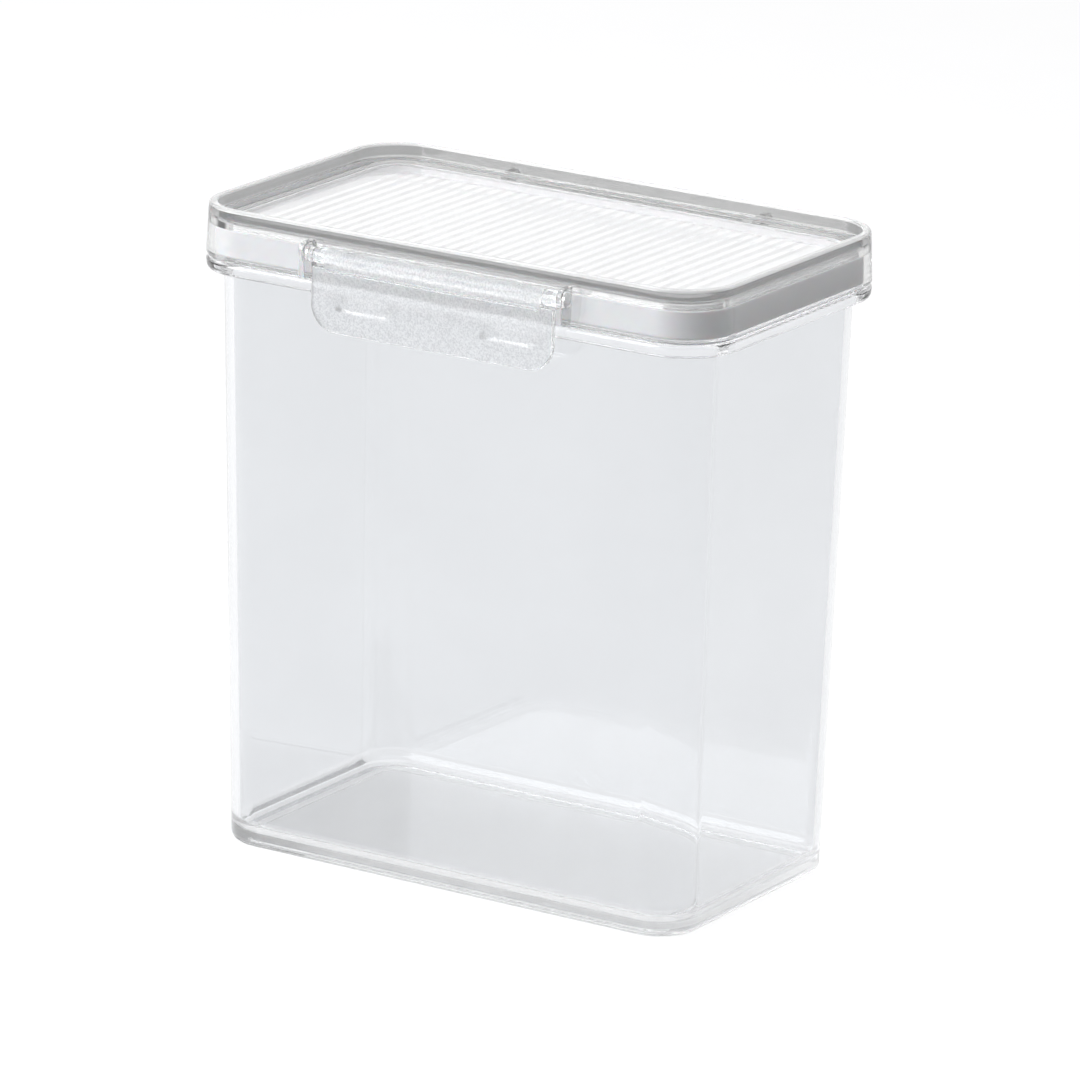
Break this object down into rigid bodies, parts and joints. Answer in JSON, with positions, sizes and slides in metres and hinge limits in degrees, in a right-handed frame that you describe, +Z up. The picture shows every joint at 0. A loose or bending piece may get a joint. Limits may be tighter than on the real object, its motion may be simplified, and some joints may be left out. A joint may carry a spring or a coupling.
{
  "type": "storage canister",
  "caption": "Tall clear rectangular kitchen canister for dry food, with a lift-off lid, a gasket and a hinged latch on each long side.",
  "frame": {"origin": "on the ground, in the middle of the foot", "axes": "+X along the long sides, the front long side faces -Y, +Z up"},
  "size_m": [0.15, 0.0978, 0.164],
  "materials": {
    "clear_plastic": "clear, polished",
    "lid_plastic": "clear, polished",
    "panel_plastic": "clear, fluted underneath",
    "silicone": "soft satin",
    "frosted_plastic": "clear, with a fine grain on the outer face"
  },
  "bodies": {
    "base": {"container": "clear_plastic"},
    "lid": {"lid_frame": "lid_plastic", "lid_panel": "panel_plastic", "gasket": "silicone"},
    "latch_front": {"front_latch": "frosted_plastic"},
    "latch_rear": {"rear_latch": "frosted_plastic"}
  },
  "joints": [
    {"name": "lid_lift", "type": "slide", "parent": "base", "child": "lid", "axis": [0, 0, 1], "range_m": [0, 0.12]},
    {"name": "front_latch_flip", "type": "hinge", "parent": "lid", "child": "latch_front", "pos_m": [0, -0.0457, 0.1575], "axis": [-1, 0, 0], "range_deg": [0, 135]},
    {"name": "rear_latch_flip", "type": "hinge", "parent": "lid", "child": "latch_rear", "pos_m": [0, 0.0457, 0.1575], "axis": [1, 0, 0], "range_deg": [0, 135]}
  ]
}
